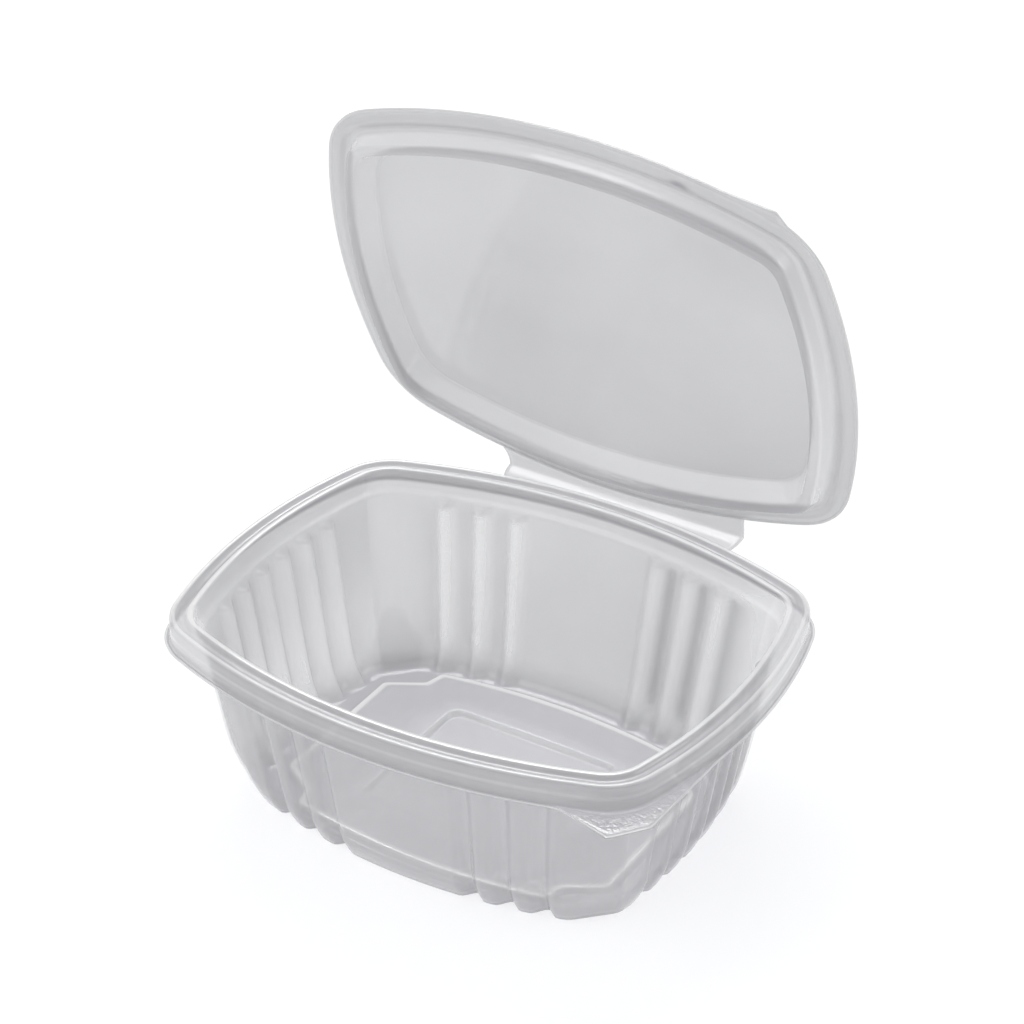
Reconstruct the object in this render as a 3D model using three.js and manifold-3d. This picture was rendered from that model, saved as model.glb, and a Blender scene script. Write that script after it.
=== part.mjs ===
// A clear hinged food container that stands open and empty: a fluted tub with a crowned rim,
// and a lid with a plug ring and a raised panel, joined by a film hinge along the back.
// Millimetres, +Z up. The origin is the middle of the tub's underside, +X runs along the hinge
// and +Y towards it.

import * as THREE from 'three';
import { mergeVertices } from 'three/addons/utils/BufferGeometryUtils.js';
import Module from 'manifold-3d';

const wasm = await Module();
wasm.setup();

// The formed sheet and the rim's crest, from which all outlines are offset
const sheet = 0.5;            // thickness
const crestHeight = 49.7;     // from the surface it stands on to the top of the rim
const crestHalfX = 62.5;      // to the middle of a short side
const crestHalfY = 49.8;      // to the middle of a long side
const longBow = 148.5;        // radius that bows the long sides out
const shortBow = 124.8;       // radius that bows the short sides out
const crestCorner = 10;

// The floor: a foot runs round a raised panel, and a pad in its middle comes down to the foot's level
const footTop = sheet;
const panelRise = 1.2;
const panelStep = 0.7;        // width of the step round the panel and round the pad
const panelHalfX = 44.5;
const panelHalfY = 35.2;
const panelCornerX = 34.2;    // where the panel's back edge ends, at its step to the corner's cut
const panelCutX = 35.5;
const panelCutY = 26;         // the cut runs from here to the panel's short side
const panelSideY = 20.5;
const padHalfX = 22.4;
const padHalfY = 19.3;
const padCorner = 3;

// The wall, by offset from the crest and height
const footOffset = -11;
const kneeOffset = -7.4;
const kneeHeight = 8;
const wallTopOffset = -1.9;
const wallTopHeight = 44.1;
const footCorner = 8;
const kneeCorner = 9;

// A plane cuts each corner's foot: |x| + |y| stays under this at the floor and grows upwards
const footCut = 73;
const footCutSlope = 0.72;

// Flutes pressed into the walls: their middles along a side, anticlockwise from the side's middle
const longFlutes = [-34.5, -25.6, -16.5, 20, 28.7, 37.3];
const shortFlutes = [-18.2, -10.4, -2.6, 5.2, 13, 20.8];
const fluteHalfWidth = 3.4;
const fluteMiddle = 22;       // height at which they are measured
const fluteFan = 0.0025;      // share by which they spread for each mm above it
const fluteDepthLow = 2.5;
const fluteDepthHigh = 1.9;
const fluteTop = 43.2;
const fluteEnd = 1.8;         // length of the rounded upper end

// The rim over the crest, as offset and height above or below the crest
const crown = [[-0.9, -5.1], [-0.6, -0.8], [-0.35, -0.15], [0.15, 0], [1.1, -0.35], [2.2, -0.9],
  [3.3, -0.4], [4.2, -0.1], [4.75, -0.35], [5, -1], [5.15, -5.6], [5.35, -6.1]];
const lipOffset = 5.9;
const lipDrop = 6.1;

// The pull tab at the tub's front right corner, inside three straight edges
const tubTab = [
  { normal: [-0.258, -0.966], reach: 34.7 },
  { normal: [0.8, -0.6], reach: 80.4 },
  { normal: [1, 0], reach: 67.4 },
];

// The lid, as offset from the crest and height over it when shut, from its panel to its edge
const lidPanelCorner = 10;     // corner radius of its panel, which tightens to the plug ring's
const plugCorner = 6;
const lidProfile = [[-7, 2.2], [-6.4, 1.7], [-4.7, -3.3], [-4, -3.9], [-2.3, -3.9], [-1.7, -3.3],
  [-1.3, -0.3], [-0.7, 0.35], [0.2, 0.5], [1.1, 0.15], [2.2, -0.45], [3.3, 0.1], [4.2, 0.35]];
const lidEdgeOffset = 5.1;
const lidEdgeRise = 0.35;
const lidCorner = 14.5;
const lidTab = [
  { normal: [-0.5, -0.866], reach: 24.6 },
  { normal: [0.157, -0.987], reach: 55.3 },
  { normal: [0.817, -0.577], reach: 70.4 },
  { normal: [1, 0], reach: 56.5 },
];

// The film hinge: a strip on each half, 0.15 mm short of the crease that the lid turns about
const openAngle = 74;         // degrees from shut, as it stands
const hingeHalfLength = 31.5;
const hingeFlare = 5;         // how much wider the lid's strip is where it leaves the lid
const creaseY = 56.8;
const creaseZ = crestHeight + 0.1;
const creaseGap = 0.15;
const stripThickness = 0.4;
const stripRoot = 4.3;        // offset at which a strip is rooted in its sheet
const tubStripDrop = -0.6;
const lidStripRise = 0.42;

// How finely the outlines are divided
const longSteps = 8;
const shortSteps = 6;
const cornerSteps = 6;

// The plan outline at an offset from the crest: an arc for each side and a corner arc that meets both.
// The corner's centre is found from its distances to the centres of the two side arcs.
function outline(offset, corner) {
  const long = longBow + offset;
  const short = shortBow + offset;
  const longCentre = new THREE.Vector2(0, crestHalfY + offset - long);
  const shortCentre = new THREE.Vector2(crestHalfX + offset - short, 0);
  const across = shortCentre.clone().sub(longCentre);
  const gap = across.length();
  const toLong = long - corner;
  const toShort = short - corner;
  const along = (gap * gap + toLong * toLong - toShort * toShort) / (2 * gap);
  const aside = Math.sqrt(toLong * toLong - along * along);
  const unit = across.divideScalar(gap);
  const outward = new THREE.Vector2(unit.y, -unit.x);
  const centre = longCentre.clone().addScaledVector(unit, along).addScaledVector(outward, aside);
  const longAngle = Math.atan2(centre.y - longCentre.y, centre.x);
  const shortAngle = Math.atan2(centre.y, centre.x - shortCentre.x);
  return {
    endX: long * Math.cos(longAngle),
    endY: short * Math.sin(shortAngle),
    longAt: (x) => longCentre.y + Math.sqrt(long * long - x * x),
    shortAt: (y) => shortCentre.x + Math.sqrt(short * short - y * y),
    cornerAt: (share) => {
      const angle = THREE.MathUtils.lerp(shortAngle, longAngle, share);
      return [centre.x + corner * Math.cos(angle), centre.y + corner * Math.sin(angle)];
    },
  };
}

// Coordinates along a side of even steps, from one end up to but not including the other
function evenSteps(end, steps) {
  return Array.from({ length: steps }, (_, i) => end * (2 * i / steps - 1));
}

// Coordinates along a side that follow its flutes: seven for each, with the side's first end and the
// middle of any plain stretch between two flutes
function fluteSteps(end, flutes, halfWidth) {
  const across = [-1, -0.6, -0.3, 0, 0.3, 0.6, 1];
  const coordinates = [-end];
  flutes.forEach((centre, i) => {
    const before = flutes[i - 1] ?? centre;
    if (centre - before > 4 * halfWidth) coordinates.push((before + centre) / 2);
    coordinates.push(...across.map((share) => centre + share * halfWidth));
  });
  return coordinates;
}

// One closed ring of points, anticlockwise from the right side, each with its share u of the way round.
// Sides are segments 0, 2, 4 and 6, and the corners between them are 1, 3, 5 and 7.
function ring({ offset, corner, z, fluted = false, depth = 0, cut = Infinity, limits = null }) {
  const plan = outline(offset, corner);
  const points = [];
  const add = (segment, share, x, y) => {
    const over = Math.max(0, Math.abs(x) + Math.abs(y) - cut) / 2;
    points.push({ u: segment + share, x: x - Math.sign(x) * over, y: y - Math.sign(y) * over, z });
  };
  const spread = 1 + fluteFan * (z - fluteMiddle);
  const halfWidth = fluteHalfWidth * spread;
  const addSide = (segment, end, steps, flutes, place) => {
    const centres = flutes.map((centre) => centre * spread);
    const coordinates = fluted ? fluteSteps(end, centres, halfWidth) : evenSteps(end, steps);
    for (const c of coordinates) {
      const aside = Math.min(...centres.map((centre) => Math.abs(c - centre)), halfWidth);
      const inward = depth * (1 + Math.cos(Math.PI * aside / halfWidth)) / 2;
      add(segment, (c / end + 1) / 2, ...place(c, fluted ? inward : 0));
    }
  };
  const addCorner = (segment, signX, signY) => {
    const forwards = signX * signY > 0;
    for (let i = 0; i < cornerSteps; i++) {
      const share = i / cornerSteps;
      const [x, y] = plan.cornerAt(forwards ? share : 1 - share);
      add(segment, share, signX * x, signY * y);
    }
  };
  addSide(0, plan.endY, shortSteps, shortFlutes, (c, inward) => [plan.shortAt(c) - inward, c]);
  addCorner(1, 1, 1);
  addSide(2, plan.endX, longSteps, longFlutes, (c, inward) => [-c, plan.longAt(c) - inward]);
  addCorner(3, -1, 1);
  addSide(4, plan.endY, shortSteps, shortFlutes, (c, inward) => [inward - plan.shortAt(c), -c]);
  addCorner(5, -1, -1);
  addSide(6, plan.endX, longSteps, longFlutes, (c, inward) => [c, inward - plan.longAt(c)]);
  addCorner(7, 1, -1);
  return limits ? pushToTab(points, plan, limits) : points;
}

// Pushes the points near the front right corner out along rays from inside it to the nearest tab edge
function pushToTab(points, plan, limits) {
  const hub = new THREE.Vector2(plan.endX - crestCorner / 2, -plan.endY + crestCorner / 2);
  return points.map((p) => {
    const ray = new THREE.Vector2(p.x, p.y).sub(hub);
    const near = ray.length();
    ray.divideScalar(near);
    const reaches = limits.map(({ normal: [nx, ny], reach }) => {
      const facing = nx * ray.x + ny * ray.y;
      return facing > 0.05 ? (reach - nx * hub.x - ny * hub.y) / facing : Infinity;
    });
    const far = Math.min(...reaches);
    if (far === Infinity || far <= near || p.x < 0 || p.y > 0) return p;
    return { ...p, x: hub.x + ray.x * far, y: hub.y + ray.y * far };
  });
}

// The raised floor panel: bowed edges, and corners cut back to leave the corner pockets clear
function panelRing({ offset, z }) {
  const halfX = panelHalfX + offset;
  const halfY = panelHalfY + offset;
  const quarter = [[halfX, panelSideY + offset / 2], [panelCutX + offset, panelCutY + offset],
    [panelCornerX + offset, panelCutY + 4.6 + offset]];
  const bow = (x) => halfY - x * x / (2 * longBow);
  const points = [];
  const add = (u, x, y) => points.push({ u, x, y, z });
  const addCorner = (segment, signX, signY) => {
    const order = signX * signY > 0 ? quarter : [...quarter].reverse();
    order.forEach(([x, y], i) => add(segment + i / order.length, signX * x, signY * y));
  };
  const edge = panelCornerX + offset;
  const addLong = (segment, sign) => {
    for (const share of [0, 0.25, 0.5, 0.75]) {
      const x = sign * edge * (1 - 2 * share);
      add(segment + share, x, sign * bow(x));
    }
  };
  add(0.5, halfX, 0);
  addCorner(1, 1, 1);
  addLong(2, 1);
  addCorner(3, -1, 1);
  add(4.5, -halfX, 0);
  addCorner(5, -1, -1);
  addLong(6, -1);
  addCorner(7, 1, -1);
  return points;
}

// The pad in the floor's middle: a rounded rectangle
function padRing({ offset, z }) {
  const points = [];
  const steps = 3;
  const centreX = padHalfX - padCorner;
  const centreY = padHalfY - padCorner;
  const radius = padCorner + offset;
  const corners = [[1, 1, 1, 0], [3, -1, 1, 90], [5, -1, -1, 180], [7, 1, -1, 270]];
  for (const [segment, signX, signY, start] of corners) {
    for (let i = 0; i <= steps; i++) {
      const angle = THREE.MathUtils.degToRad(start + 90 * i / steps);
      const x = signX * centreX + radius * Math.cos(angle);
      const y = signY * centreY + radius * Math.sin(angle);
      points.push({ u: segment + i / (steps + 1), x, y, z });
    }
  }
  return points;
}

// Adds the triangles between two closed rings: point by point where they match, and otherwise
// always stepping on along the one that lags behind in u
function stitch(triangles, inner, outer) {
  const matched = inner.length === outer.length;
  let i = 0;
  let j = 0;
  const at = (list, k) => list[k % list.length];
  const uOf = (list, k) => at(list, k).u + (k >= list.length ? 8 : 0);
  while (i < inner.length || j < outer.length) {
    const nextInner = i < inner.length ? uOf(inner, i + 1) : Infinity;
    const nextOuter = j < outer.length ? uOf(outer, j + 1) : Infinity;
    if (matched ? i < j : nextInner < nextOuter) {
      triangles.push([at(inner, i), at(outer, j), at(inner, i + 1)]);
      i++;
    } else {
      triangles.push([at(inner, i), at(outer, j), at(outer, j + 1)]);
      j++;
    }
  }
}

// The sheet's other face: every station moves by the thickness along the mitre of its two neighbours
function backFace(stations, thickness) {
  const runs = stations.map((s) => new THREE.Vector2(s.run, s.z));
  return stations.map((station, k) => {
    const before = k > 0 ? runs[k].clone().sub(runs[k - 1]).normalize() : null;
    const after = k < runs.length - 1 ? runs[k + 1].clone().sub(runs[k]).normalize() : null;
    const first = before ?? after;
    const second = after ?? before;
    const normal = new THREE.Vector2(first.y + second.y, -first.x - second.x);
    normal.multiplyScalar(thickness / (1 + first.dot(second)));
    return { ...station, offset: station.offset + normal.x, z: station.z + normal.y };
  });
}

// A closed shell: the face that meets the food, the other face, and the edge that joins them
function shell(stations, thickness) {
  const food = stations.map((s) => s.make(s));
  const other = backFace(stations, thickness).map((s) => s.make(s));
  const triangles = [];
  for (let k = 0; k + 1 < food.length; k++) {
    stitch(triangles, food[k], food[k + 1]);
    stitch(triangles, other[k + 1], other[k]);
  }
  stitch(triangles, food.at(-1), other.at(-1));
  const fill = (points, up) => {
    const centre = { x: 0, y: 0, z: points[0].z };
    points.forEach((p, k) => {
      const next = points[(k + 1) % points.length];
      triangles.push(up ? [centre, p, next] : [centre, next, p]);
    });
  };
  fill(food[0], true);
  fill(other[0], false);
  const outward = thickness > 0 ? triangles : triangles.map(([a, b, c]) => [a, c, b]);
  const geometry = new THREE.BufferGeometry();
  const flat = outward.flatMap((t) => t.flatMap((p) => [p.x, p.y, p.z]));
  geometry.setAttribute('position', new THREE.Float32BufferAttribute(flat, 3));
  return geometry;
}

// The stations of the tub from the pad's edge to the lip; run is the distance out along the Y axis
function tubStations() {
  const panelTop = footTop + panelRise;
  const stations = [
    { make: padRing, offset: 0, z: footTop, run: padHalfY },
    { make: padRing, offset: panelStep, z: panelTop, run: padHalfY + panelStep },
    { make: panelRing, offset: -panelStep, z: panelTop, run: panelHalfY - panelStep },
    { make: panelRing, offset: 0, z: footTop, run: panelHalfY },
  ];
  const addWall = (offset, z, corner, depth, more = {}) => {
    stations.push({ make: ring, offset, z, corner, depth, run: crestHalfY + offset, ...more });
  };
  const cutAt = (z) => footCut + footCutSlope * z;
  addWall(footOffset, footTop, footCorner, fluteDepthLow, { fluted: true, cut: cutAt(footTop) });
  const halfKnee = kneeHeight / 2;
  const halfOffset = (footOffset + kneeOffset) / 2 + 0.3;
  addWall(halfOffset, halfKnee, footCorner, fluteDepthLow, { fluted: true, cut: cutAt(halfKnee) });
  addWall(kneeOffset, kneeHeight, kneeCorner, fluteDepthLow, { fluted: true, cut: cutAt(kneeHeight) });
  const wallAt = (z) => THREE.MathUtils.mapLinear(z, kneeHeight, wallTopHeight, kneeOffset, wallTopOffset);
  const cornerAt = (z) => THREE.MathUtils.mapLinear(z, kneeHeight, wallTopHeight, kneeCorner, crestCorner);
  const heights = [
    [25, THREE.MathUtils.lerp(fluteDepthLow, fluteDepthHigh, 0.5)],
    [fluteTop - fluteEnd, fluteDepthHigh],
    [fluteTop - fluteEnd / 3, fluteDepthHigh * 0.7],
    [fluteTop, 0],
  ];
  for (const [z, depth] of heights) addWall(wallAt(z), z, cornerAt(z), depth, { fluted: true });
  addWall(wallTopOffset, wallTopHeight, crestCorner, 0);
  for (const [offset, rise] of crown) addWall(offset, crestHeight + rise, crestCorner + offset, 0);
  addWall(lipOffset, crestHeight - lipDrop, crestCorner + lipOffset, 0, { limits: tubTab });
  return stations;
}

// The stations of the shut lid from its panel's edge outwards
function lidStations() {
  const [[panelEdge], , [plugFlank]] = lidProfile;
  const cornerAt = (offset) => {
    const share = THREE.MathUtils.clamp((offset - panelEdge) / (plugFlank - panelEdge), 0, 1);
    return THREE.MathUtils.lerp(lidPanelCorner, Math.max(plugCorner, crestCorner + offset), share);
  };
  const stations = lidProfile.map(([offset, rise]) => ({
    make: ring,
    offset,
    z: crestHeight + rise,
    corner: cornerAt(offset),
    run: crestHalfY + offset,
  }));
  const edge = { offset: lidEdgeOffset, z: crestHeight + lidEdgeRise, run: crestHalfY + lidEdgeOffset };
  stations.push({ make: ring, corner: lidCorner + lidEdgeOffset, limits: lidTab, ...edge });
  return stations;
}

// One half of the film hinge: a flat strip from the bowed edge of its sheet to just short of the crease
function hingeStrip(low, flare) {
  const plan = outline(stripRoot, crestCorner);
  const free = creaseY - creaseGap;
  const shape = new THREE.Shape();
  const root = hingeHalfLength + flare;
  shape.moveTo(-hingeHalfLength, free);
  shape.quadraticCurveTo(-hingeHalfLength, plan.longAt(root) + 1, -root, plan.longAt(root));
  for (const x of evenSteps(root, longSteps).slice(1)) shape.lineTo(x, plan.longAt(x));
  shape.lineTo(root, plan.longAt(root));
  shape.quadraticCurveTo(hingeHalfLength, plan.longAt(root) + 1, hingeHalfLength, free);
  const options = { depth: stripThickness, bevelEnabled: false, curveSegments: 4 };
  return new THREE.ExtrudeGeometry(shape, options).translate(0, 0, low);
}

// Joins closed geometries into one solid
function join(...geometries) {
  const solids = geometries.map((geometry) => {
    const bare = geometry.clone();
    bare.deleteAttribute('normal');
    bare.deleteAttribute('uv');
    const merged = mergeVertices(bare, 1e-4);
    const vertProperties = merged.attributes.position.array;
    const triVerts = Uint32Array.from(merged.index.array);
    return new wasm.Manifold(new wasm.Mesh({ numProp: 3, vertProperties, triVerts }));
  });
  const joined = solids.reduce((a, b) => a.add(b)).getMesh();
  const geometry = new THREE.BufferGeometry();
  geometry.setAttribute('position', new THREE.BufferAttribute(new Float32Array(joined.vertProperties), 3));
  geometry.setIndex(new THREE.BufferAttribute(new Uint32Array(joined.triVerts), 1));
  geometry.computeVertexNormals();
  return geometry;
}

const clearPlastic = new THREE.MeshStandardMaterial({
  color: 0xdfe2e6, roughness: 0.12, metalness: 0, transparent: true, opacity: 0.4, side: THREE.DoubleSide,
});

const tubStrip = hingeStrip(crestHeight + tubStripDrop, 0);
const tub = new THREE.Mesh(join(shell(tubStations(), sheet), tubStrip), clearPlastic);
tub.name = 'tub';

// The lid is drawn shut and swung up about the crease
const lidStrip = hingeStrip(crestHeight + lidStripRise, hingeFlare);
const shutLid = join(shell(lidStations(), -sheet), lidStrip).translate(0, -creaseY, -creaseZ);
const lid = new THREE.Mesh(shutLid, clearPlastic.clone());
lid.name = 'lid';
const hinge = new THREE.Group();
hinge.position.set(0, creaseY, creaseZ);
hinge.rotation.x = -THREE.MathUtils.degToRad(openAngle);
hinge.add(lid);

const container = new THREE.Group();
container.add(tub, hinge);

export default container;
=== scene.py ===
# Clear hinged takeaway container, standing open and empty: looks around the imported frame.
# Shapes are worked out in millimetres and put into the meshes in metres.
import bpy
import math
import numpy as np
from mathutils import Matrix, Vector


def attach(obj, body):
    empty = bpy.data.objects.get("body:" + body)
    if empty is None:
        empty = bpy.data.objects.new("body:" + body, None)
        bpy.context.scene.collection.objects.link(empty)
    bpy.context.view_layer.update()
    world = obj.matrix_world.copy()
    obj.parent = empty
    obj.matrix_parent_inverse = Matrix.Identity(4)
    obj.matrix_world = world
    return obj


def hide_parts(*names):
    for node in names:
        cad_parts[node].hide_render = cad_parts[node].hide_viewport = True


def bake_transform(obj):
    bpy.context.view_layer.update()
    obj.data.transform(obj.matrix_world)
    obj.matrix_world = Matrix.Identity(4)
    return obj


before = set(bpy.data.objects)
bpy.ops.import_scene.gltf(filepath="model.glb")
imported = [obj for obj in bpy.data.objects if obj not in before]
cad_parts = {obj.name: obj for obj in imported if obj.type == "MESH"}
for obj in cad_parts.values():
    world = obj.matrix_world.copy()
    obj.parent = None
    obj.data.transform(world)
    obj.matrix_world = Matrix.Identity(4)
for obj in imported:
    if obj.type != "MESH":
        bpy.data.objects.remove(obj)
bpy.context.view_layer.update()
mm = 0.001

# the rim's crest as seen from above: four bowed sides and four corner arcs
crest = dict(halfX=62.5, halfY=49.8, longBow=148.5, shortBow=124.8, corner=10.0, height=49.7)
sheet = 0.5             # thickness of the formed sheet
openAngle = 74.0        # degrees that the lid stands open
crease = (56.8, 49.8)   # y and z of the line that the lid turns about
tabHub = 5.0            # how far in from the outline's corner the point lies that a pull tab fans out from


# Parts of the plan outline at an offset from the crest. The corner's centre lies where a circle of
# radius (long - corner) about the long arc's centre meets one of radius (short - corner) about the short
# arc's centre.
def planArcs(offset, corner):
    long = crest["longBow"] + offset
    short = crest["shortBow"] + offset
    longY = crest["halfY"] - crest["longBow"]
    shortX = crest["halfX"] - crest["shortBow"]
    gap = math.hypot(shortX, longY)
    unit = (shortX / gap, -longY / gap)
    along = (gap ** 2 + (long - corner) ** 2 - (short - corner) ** 2) / (2 * gap)
    aside = np.sqrt((long - corner) ** 2 - along ** 2)
    cx = unit[0] * along + unit[1] * aside
    cy = longY + unit[1] * along - unit[0] * aside
    longAngle = np.arctan2(cy - longY, cx)
    shortAngle = np.arctan2(cy, cx - shortX)
    return dict(long=long, short=short, longY=longY, shortX=shortX, cx=cx, cy=cy,
                longAngle=longAngle, shortAngle=shortAngle,
                endX=long * np.cos(longAngle), endY=short * np.sin(shortAngle))


# Places along a side, closer together inside its flutes: the running total of points per mm is read
# backwards.
def sidePlaces(flutes, reach, ends, fine, coarse):
    x = np.linspace(*ends, 3001)
    density = np.full_like(x, 1 / coarse)
    for centre in flutes:
        density[np.abs(x - centre) < reach] = 1 / fine
    total = np.concatenate([[0], np.cumsum((density[1:] + density[:-1]) / 2 * np.diff(x))])
    return np.interp(np.linspace(0, total[-1], int(round(total[-1])) + 1), total, x)


# Every point of a ring as a kind (0 right, 2 back, 4 left, 6 front side, odd numbers the corners between),
# a fixed place along the side in mm, and a share of what is left up to the corner or round it.
def ringPlan(sides, endSteps, cornerSteps):
    kinds, places, shares = [], [], []
    toEnd = np.arange(1, endSteps + 1) / endSteps
    arc = np.arange(1, cornerSteps) / cornerSteps
    for k, side in enumerate(sides):
        spots = sidePlaces(**side)
        place = np.concatenate([np.full(endSteps, spots[0]), spots, np.full(endSteps, spots[-1])])
        kinds += [np.full(len(place), 2 * k), np.full(len(arc), 2 * k + 1)]
        places += [place, 0 * arc]
        shares += [-toEnd[::-1], 0 * spots, toEnd, arc]
    return np.concatenate(kinds), np.concatenate(places), np.concatenate(shares)


# A flute's share of its full depth at each place of a plan: a raised cosine across its width.
def fluteShape(plan, flutes, reach):
    kinds, places, shares = plan
    shape = np.zeros(len(kinds))
    for k in range(4):
        here = kinds == 2 * k
        near = np.min(np.abs(places[here, None] - np.array(flutes[k])[None, :]), axis=1)
        shape[here] = (1 + np.cos(np.pi * np.minimum(near / reach, 1))) / 2
    return shape


# All rings at once, as x and y grids of rings by places. Offset, corner and cut have one value a ring, and
# inward is how far each point is pulled in from its side. The cut presses |x| + |y| back, and spread fans
# the places out.
def ringGrid(plan, offset, corner, inward=None, spread=1.0, cut=None):
    kinds, places, shares = plan
    arcs = planArcs(offset[:, None], corner[:, None])
    spread = np.broadcast_to(spread, offset.shape)[:, None]
    x = np.zeros((len(offset), len(kinds)))
    y = np.zeros_like(x)
    inward = x if inward is None else inward
    for k in range(4):
        here = kinds == 2 * k
        place = places[here] * spread
        isLong = k in (1, 3)
        end = arcs["endX"] if isLong else arcs["endY"]
        along = place + shares[here] * (end - np.abs(place))
        pull = inward[:, here]
        radius = arcs["long"] if isLong else arcs["short"]
        bow = np.sqrt(radius ** 2 - along ** 2)
        if isLong:
            out = arcs["longY"] + bow - pull
            x[:, here] = -along if k == 1 else along
            y[:, here] = out if k == 1 else -out
        else:
            out = arcs["shortX"] + bow - pull
            x[:, here] = out if k == 0 else -out
            y[:, here] = along if k == 0 else -along
        there = kinds == 2 * k + 1
        share = shares[there] if k in (0, 2) else 1 - shares[there]
        angle = arcs["shortAngle"] + (arcs["longAngle"] - arcs["shortAngle"]) * share
        signX = (1, -1, -1, 1)[k]
        signY = (1, 1, -1, -1)[k]
        x[:, there] = signX * (arcs["cx"] + corner[:, None] * np.cos(angle))
        y[:, there] = signY * (arcs["cy"] + corner[:, None] * np.sin(angle))
    if cut is not None:
        soft = 0.35
        over = soft * np.logaddexp(0, (np.abs(x) + np.abs(y) - cut[:, None]) / soft) / 2
        x, y = x - np.sign(x) * over, y - np.sign(y) * over
    return x, y


# Rounds a row of points by cutting every corner at a quarter and three quarters of its legs, over and over.
def rounded(points, times):
    points = np.asarray(points, float)
    for _ in range(times):
        legs = points[1:] - points[:-1]
        inner = np.stack([points[:-1] + legs / 4, points[:-1] + legs * 3 / 4], 1)
        points = np.concatenate([points[:1], inner.reshape(-1, points.shape[1]), points[-1:]])
    return points


# Walks a rounded row of points in even steps, as measured over its first two columns.
def stepped(points, step):
    length = np.concatenate([[0], np.cumsum(np.hypot(*np.diff(points[:, :2], axis=0).T))])
    spots = np.linspace(0, length[-1], max(2, int(math.ceil(length[-1] / step)) + 1))
    return np.stack([np.interp(spots, length, column) for column in points.T], 1)


# Reads a table of (place, value) pairs at any places, in straight lines between its rows.
def readTable(table, places):
    return np.interp(places, *np.transpose(table))


def smoothStep(low, high, value):
    t = np.clip((value - low) / (high - low), 0, 1)
    return t * t * (3 - 2 * t)


# Pushes points near the front right corner out along rays from a hub, up to the nearest of the tab's
# straight edges.
def pushedToTab(x, y, hub, edges):
    rayX, rayY = x - hub[0], y - hub[1]
    near = np.hypot(rayX, rayY)
    rayX, rayY = rayX / near, rayY / near
    far = np.full(x.shape, np.inf)
    for nx, ny, reach in edges:
        facing = nx * rayX + ny * rayY
        meets = facing > 0.05
        hit = (reach - nx * hub[0] - ny * hub[1]) / np.where(meets, facing, 1)
        far = np.where(meets, np.minimum(far, hit), far)
    pushed = np.where(np.isfinite(far) & (far > near) & (x > 0) & (y < 0), far, near)
    return hub[0] + rayX * pushed, hub[1] + rayY * pushed


# The outline at an offset with a pull tab on it, as one ring, and how surely each place is on the tab.
def ringWithTab(plan, offset, corner, edges):
    plainX, plainY = ringGrid(plan, np.array([offset]), np.array([corner]))
    arcs = planArcs(offset, corner)
    hub = (arcs["endX"] - tabHub, -arcs["endY"] + tabHub)
    x, y = pushedToTab(plainX, plainY, hub, edges)
    return x, y, smoothStep(1.0, 3.0, np.hypot(x - plainX, y - plainY))


# A grid of rings by places, closed round each ring and filled at its first ring's middle where asked. Each
# of the marks is a grid of the same shape, kept as an attribute that the material reads.
def ringMesh(name, x, y, z, middle=None, flip=False, marks=None):
    rings, count = x.shape
    verts = np.stack([x, y, z], -1).reshape(-1, 3)
    row = np.arange(rings - 1)[:, None] * count
    col = np.arange(count)[None, :]
    nextCol = (col + 1) % count
    quads = np.stack([row + col, row + count + col, row + count + nextCol, row + nextCol], -1)
    faces = quads.reshape(-1, 4).tolist()
    if middle is not None:
        verts = np.concatenate([verts, [middle]])
        centre = len(verts) - 1
        fan = np.stack([np.full(count, centre), col[0], nextCol[0]], -1)
        faces += fan.tolist()
    if flip:
        faces = [face[::-1] for face in faces]
    piece = meshPiece(name, verts, faces)
    for key, grid in (marks or {}).items():
        values = np.zeros(len(verts), np.float32)
        values[:grid.size] = grid.ravel()
        values[grid.size:] = grid[0].mean()
        piece.data.attributes.new(key, "FLOAT", "POINT").data.foreach_set("value", values)
    return piece


def meshPiece(name, verts, faces):
    mesh = bpy.data.meshes.new(name)
    mesh.from_pydata((np.asarray(verts) * mm).tolist(), [], faces)
    mesh.validate()
    mesh.shade_smooth()
    piece = bpy.data.objects.new(name, mesh)
    bpy.context.scene.collection.objects.link(piece)
    return piece


def thicken(piece, thickness):
    skin = piece.modifiers.new("sheet", "SOLIDIFY")
    skin.thickness = thickness * mm
    skin.offset = -1
    skin.use_even_offset = False
    skin.use_quality_normals = True
    return piece


# Turns shut-lid points about the crease into the standing lid's place.
def swungUp(y, z):
    turn = math.radians(openAngle)
    dy, dz = y - crease[0], z - crease[1]
    return (crease[0] + dy * math.cos(turn) + dz * math.sin(turn),
            crease[1] - dy * math.sin(turn) + dz * math.cos(turn))


# Clear formed plastic: a see-through Principled sheet whose cover rises at a grazing view, with faint flow
# waves from forming, fine rub marks that dull it here and there, and a slow unevenness of tone. One
# attribute says where the sheet is clearer or cloudier: nearly all of it is painted light and shade, with a
# little real haze on the knurled tab. Another is a painted highlight that turns folds and beads white, and
# grain says where it is knurled.
clearSheet = dict(tone=(0.485, 0.482, 0.500, 1), highlightWhite=(0.93, 0.93, 0.925, 1), shadow=(0.975, 0.975, 0.98, 1),
                  facing=0.48, grazing=0.70, bend=0.5, clouds=(-0.04, 0.05), index=1.57, gloss=1.0,
                  roughness=0.10, rubs=0.08, waves=0.08, knurl=0.5)


def link(tree, a, b):
    tree.links.new(a, b)


def addNode(tree, kind, at, **values):
    node = tree.nodes.new(kind)
    node.location = at
    for key, value in values.items():
        if key in node.inputs:
            node.inputs[key].default_value = value
        else:
            setattr(node, key, value)
    return node


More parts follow.
